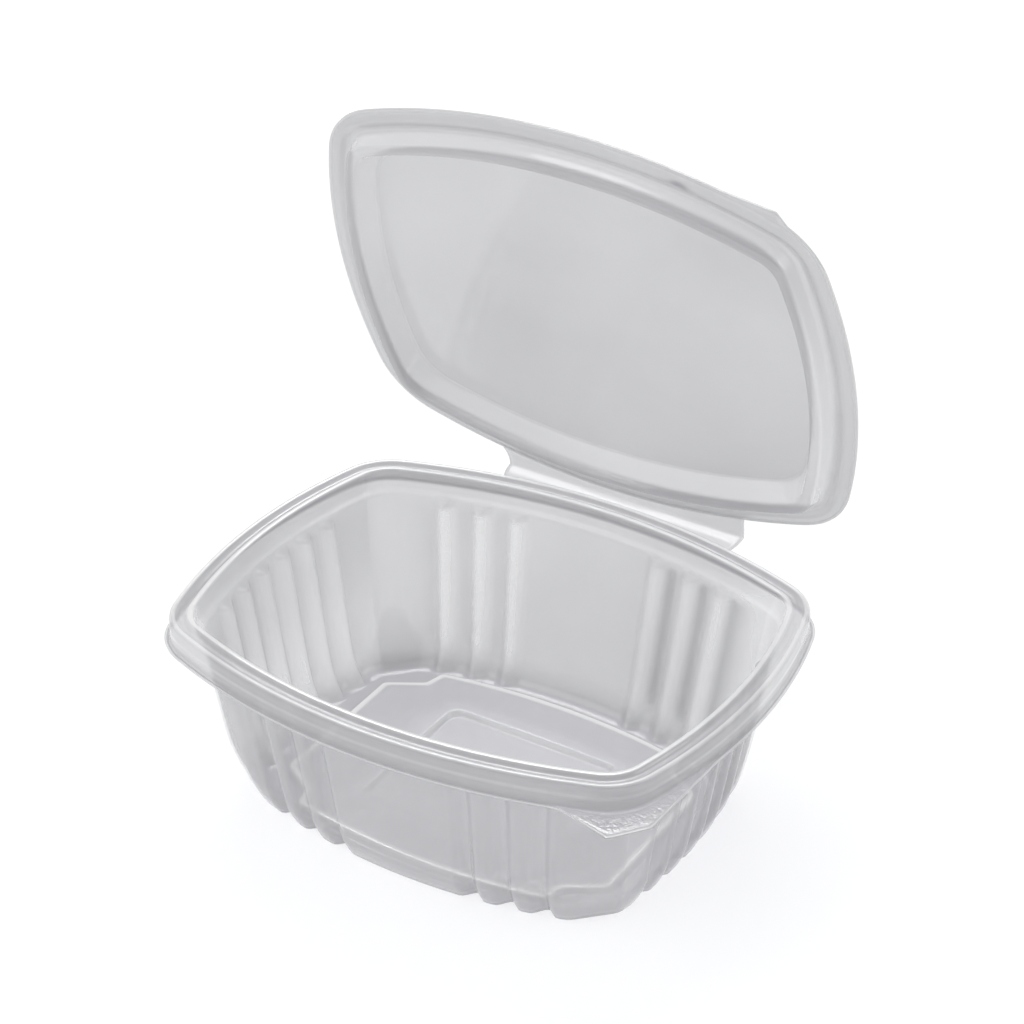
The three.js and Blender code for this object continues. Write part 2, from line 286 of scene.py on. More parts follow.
def clearMaterial(name, look):
    material = bpy.data.materials.new(name)
    material.use_nodes = True
    tree = material.node_tree
    shader = tree.nodes["Principled BSDF"]
    shader.inputs["IOR"].default_value = look["index"]
    shader.inputs["Specular IOR Level"].default_value = look["gloss"]
    # painted highlight: folds and beads are painted from the sheet's tone to white where highlights fall
    paintedHighlight = addNode(tree, "ShaderNodeAttribute", (-780, 750), attribute_name="paintedHighlight")
    highlightMix = addNode(tree, "ShaderNodeMix", (-340, 500), data_type="RGBA")
    factor, plain, highlightWhite = highlightMix.inputs[0], highlightMix.inputs[6], highlightMix.inputs[7]
    plain.default_value = look["tone"]
    highlightWhite.default_value = look["highlightWhite"]
    link(tree, paintedHighlight.outputs["Fac"], factor)
    link(tree, highlightMix.outputs[2], shader.inputs["Base Color"])
    # slow unevenness of the sheet
    place = addNode(tree, "ShaderNodeTexCoord", (-1400, 0))
    cloud = addNode(tree, "ShaderNodeTexNoise", (-1000, 300), Scale=22.0, Detail=3.0)
    link(tree, place.outputs["Object"], cloud.inputs["Vector"])
    toneRamp = addNode(tree, "ShaderNodeMapRange", (-780, 300))
    toneRamp.inputs["From Min"].default_value = 0.3
    toneRamp.inputs["From Max"].default_value = 0.7
    toneRamp.inputs["To Min"].default_value = look["clouds"][0]
    toneRamp.inputs["To Max"].default_value = look["clouds"][1]
    link(tree, cloud.outputs["Fac"], toneRamp.inputs["Value"])
    # cover: little when looked at squarely, much when looked along
    edge = addNode(tree, "ShaderNodeLayerWeight", (-1000, 0), Blend=look["bend"])
    cover = addNode(tree, "ShaderNodeMapRange", (-780, 0))
    cover.inputs["To Min"].default_value = look["facing"]
    cover.inputs["To Max"].default_value = look["grazing"]
    link(tree, edge.outputs["Facing"], cover.inputs["Value"])
    uneven = addNode(tree, "ShaderNodeMath", (-560, 250), operation="ADD")
    link(tree, cover.outputs["Result"], uneven.inputs[0])
    link(tree, toneRamp.outputs["Result"], uneven.inputs[1])
    # painted light and shade, with a little real haze on the knurled tab: more cover reads darker, less reads
    # lighter
    hazeAndPaintedLight = addNode(tree, "ShaderNodeAttribute", (-780, 500), attribute_name="hazeAndPaintedLight")
    total = addNode(tree, "ShaderNodeMath", (-450, 120), operation="ADD", use_clamp=True)
    link(tree, uneven.outputs["Value"], total.inputs[0])
    link(tree, hazeAndPaintedLight.outputs["Fac"], total.inputs[1])
    # the far skin of the sheet adds nothing: a wall is seen once
    side = addNode(tree, "ShaderNodeNewGeometry", (-780, -150))
    once = addNode(tree, "ShaderNodeMath", (-560, -100), operation="SUBTRACT")
    once.inputs[0].default_value = 1.0
    link(tree, side.outputs["Backfacing"], once.inputs[1])
    seen = addNode(tree, "ShaderNodeMath", (-340, 50), operation="MULTIPLY")
    link(tree, total.outputs["Value"], seen.inputs[0])
    link(tree, once.outputs["Value"], seen.inputs[1])
    link(tree, seen.outputs["Value"], shader.inputs["Alpha"])
    # rub marks: thin stretched noise that roughens the gloss
    stretch = addNode(tree, "ShaderNodeMapping", (-1200, -300))
    stretch.inputs["Scale"].default_value = (900, 120, 500)
    stretch.inputs["Rotation"].default_value = (0.2, 0.1, 0.6)
    link(tree, place.outputs["Object"], stretch.inputs["Vector"])
    rub = addNode(tree, "ShaderNodeTexNoise", (-1000, -300), Scale=1.0, Detail=2.0)
    link(tree, stretch.outputs["Vector"], rub.inputs["Vector"])
    rubRange = addNode(tree, "ShaderNodeMapRange", (-780, -300))
    rubRange.inputs["From Min"].default_value = 0.55
    rubRange.inputs["From Max"].default_value = 0.8
    rubRange.inputs["To Min"].default_value = look["roughness"]
    rubRange.inputs["To Max"].default_value = look["roughness"] + look["rubs"]
    link(tree, rub.outputs["Fac"], rubRange.inputs["Value"])
    link(tree, rubRange.outputs["Result"], shader.inputs["Roughness"])
    # what the sheet lets through of the light that makes shadows: nearly all of it
    lightPath = addNode(tree, "ShaderNodeLightPath", (200, 300))
    through = addNode(tree, "ShaderNodeBsdfTransparent", (200, -200), Color=look["shadow"])
    both = addNode(tree, "ShaderNodeMixShader", (420, 0))
    link(tree, lightPath.outputs["Is Shadow Ray"], both.inputs["Fac"])
    link(tree, shader.outputs["BSDF"], both.inputs[1])
    link(tree, through.outputs["BSDF"], both.inputs[2])
    link(tree, both.outputs["Shader"], tree.nodes["Material Output"].inputs["Surface"])
    # flow waves from forming
    wave = addNode(tree, "ShaderNodeTexNoise", (-1000, -600), Scale=140.0, Detail=2.0)
    link(tree, place.outputs["Object"], wave.inputs["Vector"])
    bump = addNode(tree, "ShaderNodeBump", (-560, -600), Strength=look["waves"], Distance=0.0006)
    link(tree, wave.outputs["Fac"], bump.inputs["Height"])
    # knurling: fine rounded grains where the grain attribute is set
    grains = addNode(tree, "ShaderNodeTexNoise", (-1000, -850), Scale=950.0, Detail=1.0)
    link(tree, place.outputs["Object"], grains.inputs["Vector"])
    grain = addNode(tree, "ShaderNodeAttribute", (-1000, -1050), attribute_name="grain")
    raised = addNode(tree, "ShaderNodeMath", (-780, -850), operation="MULTIPLY")
    link(tree, grains.outputs["Fac"], raised.inputs[0])
    link(tree, grain.outputs["Fac"], raised.inputs[1])
    knurl = addNode(tree, "ShaderNodeBump", (-340, -700), Strength=look["knurl"], Distance=0.0006)
    link(tree, raised.outputs["Value"], knurl.inputs["Height"])
    link(tree, bump.outputs["Normal"], knurl.inputs["Normal"])
    link(tree, knurl.outputs["Normal"], shader.inputs["Normal"])
    return material


def dress(piece, material):
    piece.data.materials.clear()
    piece.data.materials.append(material)


sheetMaterial = clearMaterial("clearSheet", clearSheet)

# Flutes are placed anticlockwise along their side from its middle, as measured at the height fluteMiddle,
# and their depth is by height. The wall is by offset from the crest, height and corner radius, and the rim's
# crown by offset from the crest and height over it.
tub = dict(
    longFlutes=(-34.5, -25.6, -16.5, 20.0, 28.7, 37.3),
    shortFlutes=(-18.2, -10.4, -2.6, 5.2, 13.0, 20.8),
    fluteReach=3.4, fluteMiddle=22.0, fluteFan=0.0025, fluteTop=43.9, fluteEnd=1.5,
    fluteDepth=[(0, 2.5), (8, 2.5), (25, 2.2), (40, 1.9)],
    footCut=73.0, footCutSlope=0.72,
    wall=[(-11.0, 0.5, 8.0), (-9.2, 3.6, 8.3), (-7.4, 8.0, 9.0),
          (-3.0, 37.0, 9.8), (-1.95, 44.0, 10.0), (-1.6, 44.6, 10.0)],
    crown=[(-1.1, -4.4), (-0.75, -3.2), (-0.6, -1.2), (-0.5, -0.35), (-0.25, -0.02), (0.05, 0.05),
           (0.85, 0.05), (1.2, -0.2), (1.6, -0.75), (2.2, -1.0), (3.3, -0.45), (3.9, -0.05), (4.5, -0.05),
           (4.85, -0.3), (5.05, -0.9), (5.15, -5.3), (5.25, -6.1), (5.45, -6.1)],
    lip=5.9, lipRise=0.25, tabEdges=[(-0.258, -0.966, 34.7), (0.8, -0.6, 80.4), (1.0, 0.0, 67.4)],
)

# How cloudy the tub's sheet is painted, as painted shade and light with a little real haze on the knurled
# tab, and where painted
# highlights turn it white: up the wall by height, over the rim by offset and down its skirt by height over
# the crest.
tubMarks = dict(
    # painted shade: darker towards the foot
    wallPaintedShade=[(0.5, 0.32), (1.2, 0.30), (3.2, 0.17), (5.5, 0.09), (9.0, 0.05), (18.0, 0.03), (30.0, 0.03),
              (44.0, 0.04)],
    # painted shade in the rim's valley and painted light on its outer ridge; painted highlights along the
    # crest top and the outer ridge
    rimPaintedLight=[(-1.5, 0.0), (-0.6, 0.05), (1.0, 0.0), (2.2, 0.12), (3.4, 0.02), (4.2, -0.05), (4.8, 0.02),
             (5.1, 0.02)],
    rimPaintedHighlight=[(-0.5, 0.0), (-0.25, 0.7), (0.8, 0.7), (1.15, 0.0), (3.5, 0.0), (3.9, 0.6), (4.5, 0.6),
              (4.9, 0.0)],
    # painted light and shade down the skirt: a light line at its foot, a dark band above it and a light
    # streak; then a painted highlight streak
    skirtPaintedLight=[(-6.1, -0.20), (-5.7, 0.08), (-4.6, 0.10), (-3.4, -0.06), (-2.6, -0.04), (-1.6, 0.06),
               (-0.9, 0.02)],
    skirtPaintedHighlight=[(-6.1, 0.0), (-3.8, 0.0), (-3.1, 0.4), (-2.4, 0.0), (-1.0, 0.0)],
    wallTop=44.2, skirtTop=-0.9, skirtStart=5.0, skirtHighlightStart=4.8,
    facetPaintedShade=0.08, facetCut=0.8, highlightCover=0.4, tabHaze=0.10, beadHighlightClearing=-0.25, beadPaintedHighlight=0.5,
    # painted shade at a flute's upper end, which lies a little below the flutes' top, and painted shade along
    # the front of the foot
    fluteEndPaintedShade=0.14, endDrop=0.8, endWidth=1.1, frontFootPaintedShade=0.13, frontFoot=-20.0,
    # painted shade beside each flute, on its corner side where its flank lies in shade, and painted light on
    # the flute: a pair for the long sides' first three flutes, for their last three, and for the short sides'
    # flutes
    columnPlace=4.2, columnReach=2.8, paintedFlankShade=[(0.24, -0.07), (0.06, -0.13), (0.04, -0.04)],
    # painted light and shade by side, as the light falls on each: the walls and corners by turns,
    # anticlockwise from the right wall, at the foot and at the top, and two opposite corners painted lighter
    lowPaintedLight=(-0.13, -0.05, 0.0, 0.0, -0.08, -0.06, 0.0, 0.0),
    highPaintedLight=(-0.13, -0.05, 0.0, 0.0, 0.05, -0.06, 0.0, 0.0),
    paintedLightCorner=dict(angle=-142.0, hazeAndPaintedLight=-0.14, power=24),
)

# How densely the tub's grid is drawn, in mm. Fine steps reach fluteReach from each flute's middle.
tubGrid = dict(lowStep=1.9, midStep=0.7, rimStep=0.42, fine=0.72, coarse=2.2, fluteReach=4.4,
               shortEnds=(-22.6, 25.2), longEnds=(-39.0, 41.6), endSteps=4, cornerSteps=18,
               floorInset=2.9, floorCutInset=4.1,
               lipShares=(0.12, 0.2, 0.3, 0.4, 0.5, 0.6, 0.7, 0.78, 0.84, 0.88, 0.92, 0.96, 1.0))


# The tub's rings from the foot up the wall and over the rim to the foot of its skirt.
def tubRings():
    wall = np.array(tub["wall"])
    crown = np.array([(w, crest["height"] + dz, crest["corner"] + max(w, 0)) for w, dz in tub["crown"]])
    low = stepped(rounded(wall[:4], 2), tubGrid["lowStep"])
    mid = stepped(wall[3:5], tubGrid["midStep"])
    rim = stepped(rounded(np.concatenate([wall[4:], crown]), 2), tubGrid["rimStep"])
    return np.concatenate([low, mid[1:], rim[1:]])


# How cloudy the wall and rim are painted, as a grid of rings by places: painted shade in recesses and on
# shaded flanks, painted light on lit ones. It adds up what the height or offset gives, the corners' cut
# facets, the flutes, the columns beside them and their upper ends, and the sides by turns.
def tubPaintedLight(plan, flutes, offset, z, x, y, facet, onFlute):
    kinds, places, shares = plan
    marks = tubMarks
    overCrest = z - crest["height"]
    onSkirt = (offset > marks["skirtStart"]) & (overCrest < marks["skirtTop"])
    # painted shade and light by height and offset: darker towards the foot, in the rim's valley and in a band
    # on the skirt, lighter on the rim's outer ridge and in a line at the skirt's foot
    overRim = np.where(onSkirt, readTable(marks["skirtPaintedLight"], overCrest), readTable(marks["rimPaintedLight"], offset))
    hazeAndPaintedLight = np.where(z < marks["wallTop"], readTable(marks["wallPaintedShade"], z), overRim)[:, None]
    # painted shade on the corners' cut facets at the foot
    hazeAndPaintedLight = hazeAndPaintedLight + marks["facetPaintedShade"] * facet
    # painted shade beside each flute and painted light on it
    columns = [[f + math.copysign(marks["columnPlace"], f) for f in side] for side in flutes]
    onColumn = fluteShape(plan, columns, marks["columnReach"]) * (1 - np.abs(shares)) ** 2
    group = np.where(kinds % 4 == 2, (places > 0) * 1, 2)
    paintedFlankShade, paintedFluteLight = np.array(marks["paintedFlankShade"]).T[:, group]
    onWall = (offset < 0)[:, None]
    alongFlute = smoothStep(4.0, 9.0, z) * (1 - smoothStep(41.5, 43.5, z))
    hazeAndPaintedLight = hazeAndPaintedLight + onWall * alongFlute[:, None] * (onColumn * paintedFlankShade + onFlute * paintedFluteLight)
    # painted shade at a flute's upper end, as a bell curve of the height
    atEnd = np.exp(-((z - tub["fluteTop"] + marks["endDrop"]) / marks["endWidth"]) ** 2)[:, None]
    hazeAndPaintedLight = hazeAndPaintedLight + onWall * marks["fluteEndPaintedShade"] * onFlute * atEnd
    # painted light and shade by side from low to high, and painted lighter at two opposite corners: a high
    # power of the cosine of twice the angle from the corner
    up = smoothStep(8.0, 35.0, z)[:, None]
    bySide = np.array(marks["lowPaintedLight"])[kinds] * (1 - up) + np.array(marks["highPaintedLight"])[kinds] * up
    spot = marks["paintedLightCorner"]
    around = np.cos(2 * (np.arctan2(y, x) - math.radians(spot["angle"])))
    hazeAndPaintedLight = hazeAndPaintedLight + onWall * (bySide + spot["hazeAndPaintedLight"] * np.maximum(around, 0) ** spot["power"])
    # painted shade along the front of the foot
    atFoot = (1 - smoothStep(6.5, 9.5, z))[:, None]
    return hazeAndPaintedLight + marks["frontFootPaintedShade"] * atFoot * (y < marks["frontFoot"])


# painted highlights: white lines along the rim's crest top and outer ridge, and a streak on the skirt
def tubPaintedHighlight(offset, z):
    overCrest = z - crest["height"]
    onRim = readTable(tubMarks["rimPaintedHighlight"], offset)
    onSkirt = readTable(tubMarks["skirtPaintedHighlight"], overCrest) * (offset > tubMarks["skirtHighlightStart"])
    return np.where(overCrest > tubMarks["skirtTop"], onRim, onSkirt)[:, None]


# The lip: from the foot of the skirt straight out to a beaded edge, or to the pull tab's, which is knurled.
# The bead rises and falls by shares of the way out, and so do the knurls.
def lipRings(plan, footX, footY, footZ):
    tabX, tabY, onTab = ringWithTab(plan, tub["lip"], crest["corner"] + tub["lip"], tub["tabEdges"])
    share = np.array(tubGrid["lipShares"])[:, None]
    bead = smoothStep(0.84, 0.92, share) - 0.5 * smoothStep(0.96, 1.0, share)
    x = footX + (tabX - footX) * share
    y = footY + (tabY - footY) * share
    z = footZ + tub["lipRise"] * bead + 0 * x
    # the knurled tab is cloudier; along the bead the sheet is painted clearer on the tab and painted white
    # all round, a painted highlight
    hazeAndPaintedLight = (tubMarks["tabHaze"] + tubMarks["beadHighlightClearing"] * bead) * onTab + 0 * x
    paintedHighlight = tubMarks["beadPaintedHighlight"] * bead + 0 * x
    grain = smoothStep(0.1, 0.25, share) * (1 - smoothStep(0.72, 0.84, share)) * onTab
    return x, y, z, hazeAndPaintedLight, paintedHighlight, grain


def makeTub():
    offset, z, corner = tubRings().T
    flutes = [tub["shortFlutes"], tub["longFlutes"]] * 2
    ends = [tubGrid["shortEnds"], tubGrid["longEnds"]] * 2
    steps = {key: tubGrid[key] for key in ("fine", "coarse")}
    sides = [dict(flutes=f, reach=tubGrid["fluteReach"], ends=e, **steps) for f, e in zip(flutes, ends)]
    plan = ringPlan(sides, tubGrid["endSteps"], tubGrid["cornerSteps"])
    onFlute = fluteShape(plan, flutes, tub["fluteReach"])
    fading = 1 - smoothStep(tub["fluteTop"] - tub["fluteEnd"], tub["fluteTop"], z)
    depth = readTable(tub["fluteDepth"], z) * fading * (offset < 0)
    inward = depth[:, None] * onFlute
    spread = 1 + tub["fluteFan"] * (z - tub["fluteMiddle"])
    cut = tub["footCut"] + tub["footCutSlope"] * z
    x, y = ringGrid(plan, offset, corner, inward, spread, cut)
    uncutX, uncutY = ringGrid(plan, offset, corner, inward, spread)
    cutAway = np.abs(uncutX) + np.abs(uncutY) - np.abs(x) - np.abs(y)
    facet = np.clip(cutAway / tubMarks["facetCut"], 0, 1)
    hazeAndPaintedLight = tubPaintedLight(plan, flutes, offset, z, x, y, facet, onFlute)
    wall = (x, y, z[:, None] + 0 * x, hazeAndPaintedLight, tubPaintedHighlight(offset, z) + 0 * x, 0 * x)
    lip = lipRings(plan, x[-1:], y[-1:], z[-1])
    inset = tubGrid["floorInset"]
    floorEnd = ringGrid(plan, offset[:1] - inset, corner[:1] - inset, None, spread[:1],
                        cut[:1] - tubGrid["floorCutInset"])
    floor = floorRings(*floorEnd)
    x, y, z, hazeAndPaintedLight, paintedHighlight, grain = [np.concatenate(parts) for parts in zip(floor, wall, lip)]
    # where a painted highlight turns the sheet white it also gets more cover
    marks = dict(hazeAndPaintedLight=hazeAndPaintedLight + tubMarks["highlightCover"] * paintedHighlight, paintedHighlight=paintedHighlight, grain=grain)
    return thicken(ringMesh("tubShell", x, y, z, middle=(0, 0, sheet), marks=marks), sheet)


# The floor's raised panel and sunken pad, in mm. The panel's slanted cut and notch are straight lines, each
# by its normal and its distance from the middle, the same in all four quarters. The fillet reaches out from
# the panel's edge, and the pocket is the least width left between that edge and the wall.
floorPanel = dict(rise=1.2, step=0.9, top=2.2, halfX=44.5, halfY=35.2, cut=(0.521, 0.853, 40.68),
                  notch=(0.966, 0.261, 41.1), notchY=26.0, padX=22.4, padY=19.3, padCorner=3.0,
                  fillet=0.6, pocket=0.75)
# painted shade on the floor: the pad, the panel and most of all the panel's edge and the pocket by the wall
# get more cover and look darker; painted highlights run along the pad's and the panel's edges
floorMarks = dict(padPaintedShade=0.1, padPaintedHighlight=0.35, padHighlightLine=(0.7, 0.4), panelPaintedShade=0.23, panelPaintedHighlight=0.8,
                  panelHighlightLine=(1.5, 1.05), edgePaintedShade=0.35, pocketPaintedShade=0.30)


# Distance from the middle to the panel's edge in each direction: the larger of two shapes, the wide one that
# ends in a slanted cut and the tall one with bowed long edges; and to the pad's, a rounded rectangle.
def floorEdges(angle):
    c, s = np.abs(np.cos(angle)) + 1e-9, np.abs(np.sin(angle)) + 1e-9
    cut, notch = floorPanel["cut"], floorPanel["notch"]
    wide = np.minimum(floorPanel["halfX"] / c, cut[2] / (cut[0] * c + cut[1] * s))
    wide = np.minimum(wide, floorPanel["notchY"] / s)
    bow = 2 * crest["longBow"]
    # the long edge's bow as a parabola, solved for the distance
    long = (-s + np.sqrt(s * s + 4 * c * c * floorPanel["halfY"] / bow)) * bow / (2 * c * c)
    long = np.where(c < 0.02, floorPanel["halfY"] / s, long)
    tall = np.minimum(notch[2] / (notch[0] * c + notch[1] * s), long)
    panel = np.maximum(wide, tall)
    r = floorPanel["padCorner"]
    boxX, boxY = floorPanel["padX"], floorPanel["padY"]
    square = np.minimum(boxX / c, boxY / s)
    cx, cy = boxX - r, boxY - r
    along = c * cx + s * cy
    arc = along + np.sqrt(np.maximum(along ** 2 - cx ** 2 - cy ** 2 + r ** 2, 0))
    inCorner = (square * c > cx) & (square * s > cy)
    return panel, np.where(inCorner, arc, square)


# Floor rings from the pad's middle out to a ring just inside the flutes' feet, each at a share of the way
# between the pad's edge, the panel's edge and that ring, with the painted shade and painted highlight of
# each. Painted highlights follow both edges as white lines, each given by its distance from the edge and its
# width: a narrow one along the pad, and one with a flat top along the panel.
def floorRings(footX, footY):
    footX, footY = footX[0], footY[0]
    angle = np.arctan2(footY, footX)
    fine = np.linspace(-np.pi, np.pi, 2881)
    panel, pad = floorEdges(fine)
    # the panel's corners are softened by a running mean
    kernel = np.hanning(25) / np.hanning(25).sum()
    panel = np.convolve(np.concatenate([panel[-13:-1], panel, panel[1:13]]), kernel, "valid")
    panel, pad = np.interp(angle, fine, panel), np.interp(angle, fine, pad)
    fillet = floorPanel["fillet"]
    foot = np.maximum(np.hypot(footX, footY), panel + floorPanel["pocket"])
    step, top = floorPanel["step"], floorPanel["step"] + floorPanel["top"]
    low, high = sheet, sheet + floorPanel["rise"]
    shape = rounded([(-fillet, low), (0.0, low), (step, high), (step + 1.0, high), (top, high)], 1)
    marks = floorMarks
    rows = [(share * pad, low, marks["padPaintedShade"], 0) for share in (0.25, 0.5, 0.75, 0.9)]
    middle, width = marks["padHighlightLine"]
    for d, h in shape:
        paintedHighlight = marks["padPaintedHighlight"] * math.exp(-((d - middle) / width) ** 2)
        rows.append((pad + d, h, marks["padPaintedShade"], paintedHighlight))
    inner, outer = pad + top, panel - top
    rows += [(inner + (outer - inner) * t, high, marks["panelPaintedShade"], 0) for t in (0.25, 0.5, 0.75, 0.92)]
    middle, width = marks["panelHighlightLine"]
    for d, h in shape[::-1]:
        hazeAndPaintedLight = marks["edgePaintedShade"] if d < 0.2 else marks["panelPaintedShade"]
        paintedHighlight = marks["panelPaintedHighlight"] * math.exp(-((d - middle) / width) ** 4)
        rows.append((panel - d, h, hazeAndPaintedLight, paintedHighlight))
    rows += [(panel + fillet + (foot - panel - fillet) * t, low, marks["pocketPaintedShade"], 0) for t in (0.5, 1.0)]
    radius = np.stack([row[0] for row in rows])
    height, hazeAndPaintedLight, paintedHighlight = [np.stack([np.full(angle.shape, row[k]) for row in rows]) for k in (1, 2, 3)]
    return radius * np.cos(angle), radius * np.sin(angle), height, hazeAndPaintedLight, paintedHighlight, 0 * radius


tubShell = makeTub()
dress(tubShell, sheetMaterial)
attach(tubShell, "base")
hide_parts("tub")
print("tub:", len(tubShell.data.vertices), "vertices")

# The shut lid's profile from its panel to its edge: offset from the crest, height over it, corner radius.
# The nub is a small mark pressed up in the flange's groove beside the tab, with a painted shadow on it.
lid = dict(
    profile=[(-9.0, 2.2, 13.0), (-7.0, 2.2, 13.0), (-6.7, 2.0, 12.6), (-6.3, 1.5, 12.0), (-4.8, -3.2, 7.5),
             (-4.4, -3.75, 6.8), (-3.9, -3.9, 6.2), (-2.4, -3.9, 7.6), (-1.9, -3.75, 8.0), (-1.65, -3.2, 8.3),
             (-1.3, -0.4, 8.7), (-1.0, 0.15, 9.0), (-0.5, 0.45, 9.5), (0.2, 0.55, 10.2), (1.1, 0.15, 11.1),
             (2.2, -0.5, 12.2), (3.3, 0.1, 14.0), (4.2, 0.4, 17.0), (4.7, 0.35, 19.0)],
    edge=(5.1, 0.35, 19.6),
    tabEdges=[(-0.5, -0.866, 24.6), (0.157, -0.987, 55.3), (0.817, -0.577, 70.4), (1.0, 0.0, 56.5)],
    nub=dict(x=30.0, offset=2.1, halfLength=2.0, halfWidth=0.7, rise=0.35, hazeAndPaintedLight=0.45),
)

# How densely the lid's grid is drawn, in mm. Fine steps reach nubReach from the nub's middle.
lidGrid = dict(step=0.42, fine=0.7, coarse=2.2, nubReach=5.0, sideEnds=(24.0, 40.0, 24.0, 40.0), endSteps=4,
               cornerSteps=18, edgeSteps=3, shrink=(0.02, 0.25, 0.5, 0.75, 0.9))

# By offset: how cloudy the lid is painted, in bands of painted shade and light, how much more so on its hinge
# side and left, and which lines are painted white as highlights.
# The tab is knurled by rings of its edge.
lidMarks = dict(
    hazeAndPaintedLight=[(-9.0, 0.10), (-6.8, 0.09), (-6.5, -0.02), (-4.9, -0.02), (-4.4, 0.08), (-2.2, 0.08),
          (-1.9, -0.08), (-1.2, -0.08), (-0.8, 0.08), (1.5, 0.16), (3.0, 0.22), (5.1, 0.14)],
    paintedSideShade=[(-6.8, 0.0), (-6.5, 0.14), (-4.7, 0.14), (-4.3, 0.04), (-2.3, 0.0), (-1.9, -0.18), (-1.2, -0.18),
          (-0.8, 0.0)],
    paintedHighlight=[(-7.2, 0.0), (-6.9, 0.25), (-6.5, 0.0), (-0.8, 0.0), (-0.3, 0.3), (0.4, 0.3), (0.9, 0.0),
           (4.4, 0.0), (4.8, 0.5)],
    edgeGrain=(0.5, 1.0, 0.0),
)


# The lid is worked out shut, from the first ring round its panel to its edge, then filled with rings that
# shrink to the panel's middle, and swung up.
def makeLid():
    offset, z, corner = stepped(rounded(lid["profile"], 3), lidGrid["step"]).T
    steps = dict(reach=lidGrid["nubReach"], fine=lidGrid["fine"], coarse=lidGrid["coarse"])
    sides = [dict(flutes=(), ends=(-end, end), **steps) for end in lidGrid["sideEnds"]]
    sides[3]["flutes"] = (lid["nub"]["x"],)
    plan = ringPlan(sides, lidGrid["endSteps"], lidGrid["cornerSteps"])
    x, y = ringGrid(plan, offset, corner)
    edgeOffset, edgeRise, edgeCorner = lid["edge"]
    edgeX, edgeY, onTab = ringWithTab(plan, edgeOffset, edgeCorner, lid["tabEdges"])
    edgeSteps = lidGrid["edgeSteps"]
    share = np.linspace(0, 1, edgeSteps + 1)[1:, None]
    x = np.concatenate([x, x[-1:] + (edgeX - x[-1:]) * share])
    y = np.concatenate([y, y[-1:] + (edgeY - y[-1:]) * share])
    z = crest["height"] + np.concatenate([z, np.full(edgeSteps, edgeRise)])[:, None] + 0 * x
    offset = np.concatenate([offset, np.full(edgeSteps, edgeOffset)])
    # the nub, a bell curve along the flange and across it, on the front side alone
    nub = lid["nub"]
    along = (np.where(edgeY < 0, edgeX, np.inf) - nub["x"]) / nub["halfLength"]
    across = ((offset - nub["offset"]) / nub["halfWidth"])[:, None]
    raised = np.exp(-along ** 2 - across ** 2)
    z = z + nub["rise"] * raised
    # painted shade and light by side: towards the hinge and the left the plug ring's inner flank is painted
    # cloudier, and its outer one clearer
    towards = 0.8 * y / crest["halfY"] - 0.6 * x / crest["halfX"]
    # painted shade and light in bands round the lid by offset; the nub's term is its painted shadow
    hazeAndPaintedLight = readTable(lidMarks["hazeAndPaintedLight"], offset)[:, None] + nub["hazeAndPaintedLight"] * raised
    hazeAndPaintedLight = hazeAndPaintedLight + readTable(lidMarks["paintedSideShade"], offset)[:, None] * towards
    # painted highlights along the panel's edge, the crown's top and the lid's edge
    paintedHighlight = readTable(lidMarks["paintedHighlight"], offset)[:, None] + 0 * x
    paintedHighlight[-edgeSteps:-1] *= 1 - onTab
    # where a painted highlight turns the sheet white it also gets more cover
    hazeAndPaintedLight = hazeAndPaintedLight + tubMarks["highlightCover"] * paintedHighlight
    grain = 0 * x
    grain[-edgeSteps:] = np.array(lidMarks["edgeGrain"])[:, None] * onTab
    # the panel
    shrink = np.array(lidGrid["shrink"])[:, None]
    x, y = np.concatenate([x[:1] * shrink, x]), np.concatenate([y[:1] * shrink, y])
    z, hazeAndPaintedLight, paintedHighlight, grain = [np.concatenate([np.repeat(grid[:1], len(shrink), 0), grid])
                             for grid in (z, hazeAndPaintedLight, paintedHighlight, grain)]
    middleY, middleZ = swungUp(0.0, z[0, 0])
    y, z = swungUp(y, z)
    marks = dict(hazeAndPaintedLight=hazeAndPaintedLight, paintedHighlight=paintedHighlight, grain=grain)
    piece = ringMesh("lidShell", x, y, z, middle=(0, middleY, middleZ), flip=True, marks=marks)
    return thicken(piece, sheet)


lidShell = makeLid()
dress(lidShell, sheetMaterial)
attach(lidShell, "lid")
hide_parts("lid")
print("lid:", len(lidShell.data.vertices), "vertices")

# x of the strip's two ends at the tub, at the crease and at the lid
film = dict(left=(-28.5, -30.0, -32.0), right=(33.8, 34.4, 35.0), root=4.4, tubDrop=-0.45, lidRise=0.5,
            gap=0.1, thickness=0.3, steps=60, halfSteps=8)


